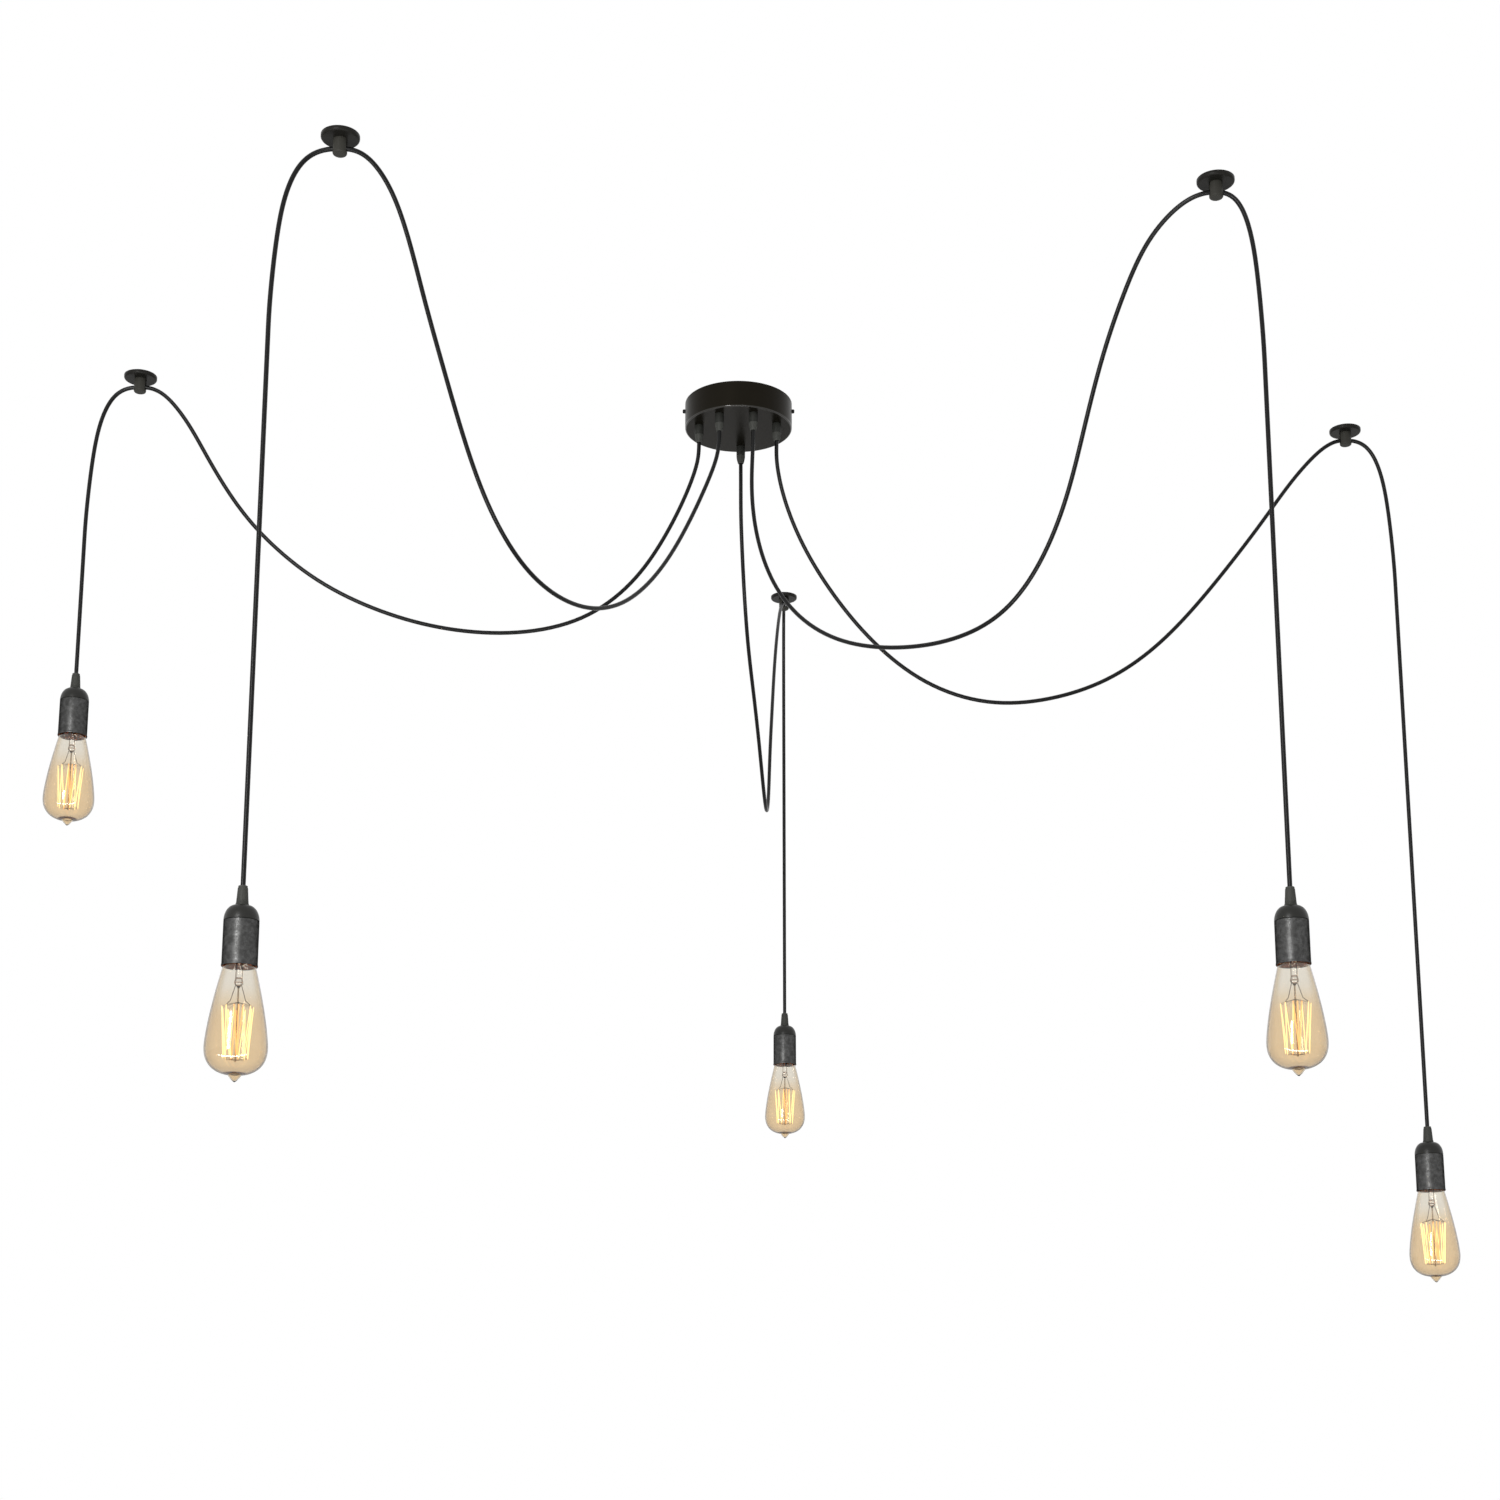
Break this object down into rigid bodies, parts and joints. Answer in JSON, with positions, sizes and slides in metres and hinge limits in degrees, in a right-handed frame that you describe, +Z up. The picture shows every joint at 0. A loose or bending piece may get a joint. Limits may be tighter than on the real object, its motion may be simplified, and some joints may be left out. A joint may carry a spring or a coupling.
{
  "type": "spider pendant light",
  "caption": "Ceiling light: a round black canopy feeds cords that swag to ceiling hooks and hang down to bare lampholders with clear amber filament bulbs.",
  "frame": {"origin": "on the ceiling plane at the canopy's centre, in the bracket's top face", "axes": "+Z up through the ceiling, +X to the right and +Y away from the picture's viewer"},
  "size_m": [1.832, 1.505, 1.1915],
  "materials": {
    "black_canopy": "satin black",
    "zinc_bracket": "zinc plated",
    "black_screws": "satin black",
    "white_connector": "moulded",
    "black_grips": "matt moulded",
    "zinc_nuts": "zinc plated",
    "black_leads": "smooth",
    "black_hooks": "satin moulded",
    "black_stems": "matt moulded",
    "black_cord": "smooth round flex",
    "black_dome": "satin",
    "pewter_sleeve": "mottled pewter",
    "cream_insert": "glazed",
    "brass_cap": "plain",
    "amber_glass": "clear amber",
    "filament": "clear stem and wire"
  },
  "bodies": {
    "root": {"canopy_cup": "black_canopy", "ceiling_bracket": "zinc_bracket", "side_screws": "black_screws", "wiring_connectors": "white_connector", "outlet_grips": "black_grips", "grip_nuts": "zinc_nuts", "cord_leads": "black_leads", "hook_plates": "black_hooks", "hook_stems": "black_stems", "cord_swag_a": "black_cord", "cord_swag_b": "black_cord", "cord_swag_c": "black_cord", "cord_swag_d": "black_cord", "cord_swag_e": "black_cord"},
    "bend_a": {"cord_bend_a": "black_cord"},
    "lamp_a": {"cord_drop_a": "black_cord", "holder_grip_a": "black_grips", "holder_dome_a": "black_dome", "holder_sleeve_a": "pewter_sleeve", "holder_insert_a": "cream_insert"},
    "cap_a": {"bulb_cap_a": "brass_cap"},
    "bulb_a": {"bulb_glass_a": "amber_glass", "bulb_filament_a": "filament"},
    "bend_b": {"cord_bend_b": "black_cord"},
    "lamp_b": {"cord_drop_b": "black_cord", "holder_grip_b": "black_grips", "holder_dome_b": "black_dome", "holder_sleeve_b": "pewter_sleeve", "holder_insert_b": "cream_insert"},
    "cap_b": {"bulb_cap_b": "brass_cap"},
    "bulb_b": {"bulb_glass_b": "amber_glass", "bulb_filament_b": "filament"},
    "bend_c": {"cord_bend_c": "black_cord"},
    "lamp_c": {"cord_drop_c": "black_cord", "holder_grip_c": "black_grips", "holder_dome_c": "black_dome", "holder_sleeve_c": "pewter_sleeve", "holder_insert_c": "cream_insert"},
    "cap_c": {"bulb_cap_c": "brass_cap"},
    "bulb_c": {"bulb_glass_c": "amber_glass", "bulb_filament_c": "filament"},
    "bend_d": {"cord_bend_d": "black_cord"},
    "lamp_d": {"cord_drop_d": "black_cord", "holder_grip_d": "black_grips", "holder_dome_d": "black_dome", "holder_sleeve_d": "pewter_sleeve", "holder_insert_d": "cream_insert"},
    "cap_d": {"bulb_cap_d": "brass_cap"},
    "bulb_d": {"bulb_glass_d": "amber_glass", "bulb_filament_d": "filament"},
    "bend_e": {"cord_bend_e": "black_cord"},
    "lamp_e": {"cord_drop_e": "black_cord", "holder_grip_e": "black_grips", "holder_dome_e": "black_dome", "holder_sleeve_e": "pewter_sleeve", "holder_insert_e": "cream_insert"},
    "cap_e": {"bulb_cap_e": "brass_cap"},
    "bulb_e": {"bulb_glass_e": "amber_glass", "bulb_filament_e": "filament"}
  },
  "joints": [
    {"name": "swing_across_a", "type": "hinge", "parent": "root", "child": "bend_a", "pos_m": [-0.435, -0.665, -0.016], "axis": [-1, 0, 0], "range_deg": [-15, 15]},
    {"name": "swing_along_a", "type": "hinge", "parent": "bend_a", "child": "lamp_a", "pos_m": [-0.505, -0.665, -0.232], "axis": [0, -1, 0], "range_deg": [-15, 15]},
    {"name": "bulb_travel_a", "type": "slide", "parent": "lamp_a", "child": "cap_a", "axis": [0, 0, -1], "range_m": [0, 0.0182]},
    {"name": "bulb_turn_a", "type": "hinge", "parent": "cap_a", "child": "bulb_a", "pos_m": [-0.505, -0.665, -0.937], "axis": [0, 0, -1], "range_deg": [0, 1800]},
    {"name": "swing_across_b", "type": "hinge", "parent": "root", "child": "bend_b", "pos_m": [0.545, -0.575, -0.016], "axis": [1, 0, 0], "range_deg": [-15, 15]},
    {"name": "swing_along_b", "type": "hinge", "parent": "bend_b", "child": "lamp_b", "pos_m": [0.591, -0.575, -0.232], "axis": [0, 1, 0], "range_deg": [-15, 15]},
    {"name": "bulb_travel_b", "type": "slide", "parent": "lamp_b", "child": "cap_b", "axis": [0, 0, -1], "range_m": [0, 0.0182]},
    {"name": "bulb_turn_b", "type": "hinge", "parent": "cap_b", "child": "bulb_b", "pos_m": [0.591, -0.575, -0.915], "axis": [0, 0, -1], "range_deg": [0, 1800]},
    {"name": "swing_across_c", "type": "hinge", "parent": "root", "child": "bend_c", "pos_m": [-0.798, -0.085, -0.016], "axis": [-1, 0, 0], "range_deg": [-15, 15]},
    {"name": "swing_along_c", "type": "hinge", "parent": "bend_c", "child": "lamp_c", "pos_m": [-0.86, -0.085, -0.232], "axis": [0, -1, 0], "range_deg": [-15, 15]},
    {"name": "bulb_travel_c", "type": "slide", "parent": "lamp_c", "child": "cap_c", "axis": [0, 0, -1], "range_m": [0, 0.0182]},
    {"name": "bulb_turn_c", "type": "hinge", "parent": "cap_c", "child": "bulb_c", "pos_m": [-0.86, -0.085, -0.503], "axis": [0, 0, -1], "range_deg": [0, 1800]},
    {"name": "swing_across_d", "type": "hinge", "parent": "root", "child": "bend_d", "pos_m": [0.85, 0.08, -0.016], "axis": [1, 0, 0], "range_deg": [-15, 15]},
    {"name": "swing_along_d", "type": "hinge", "parent": "bend_d", "child": "lamp_d", "pos_m": [0.908, 0.08, -0.232], "axis": [0, 1, 0], "range_deg": [-15, 15]},
    {"name": "bulb_travel_d", "type": "slide", "parent": "lamp_d", "child": "cap_d", "axis": [0, 0, -1], "range_m": [0, 0.0182]},
    {"name": "bulb_turn_d", "type": "hinge", "parent": "cap_d", "child": "bulb_d", "pos_m": [0.908, 0.08, -1.072], "axis": [0, 0, -1], "range_deg": [0, 1800]},
    {"name": "swing_across_e", "type": "hinge", "parent": "root", "child": "bend_e", "pos_m": [0.072, 0.716, -0.016], "axis": [0, 1, 0], "range_deg": [-15, 15]},
    {"name": "swing_along_e", "type": "hinge", "parent": "bend_e", "child": "lamp_e", "pos_m": [0.072, 0.776, -0.232], "axis": [-1, 0, 0], "range_deg": [-15, 15]},
    {"name": "bulb_travel_e", "type": "slide", "parent": "lamp_e", "child": "cap_e", "axis": [0, 0, -1], "range_m": [0, 0.0182]},
    {"name": "bulb_turn_e", "type": "hinge", "parent": "cap_e", "child": "bulb_e", "pos_m": [0.072, 0.776, -0.779], "axis": [0, 0, -1], "range_deg": [0, 1800]}
  ],
  "couplings": [
    {"joint": "bulb_travel_a", "follows": "bulb_turn_a", "m_per_rad": 0.00057773},
    {"joint": "bulb_travel_b", "follows": "bulb_turn_b", "m_per_rad": 0.00057773},
    {"joint": "bulb_travel_c", "follows": "bulb_turn_c", "m_per_rad": 0.00057773},
    {"joint": "bulb_travel_d", "follows": "bulb_turn_d", "m_per_rad": 0.00057773},
    {"joint": "bulb_travel_e", "follows": "bulb_turn_e", "m_per_rad": 0.00057773}
  ]
}
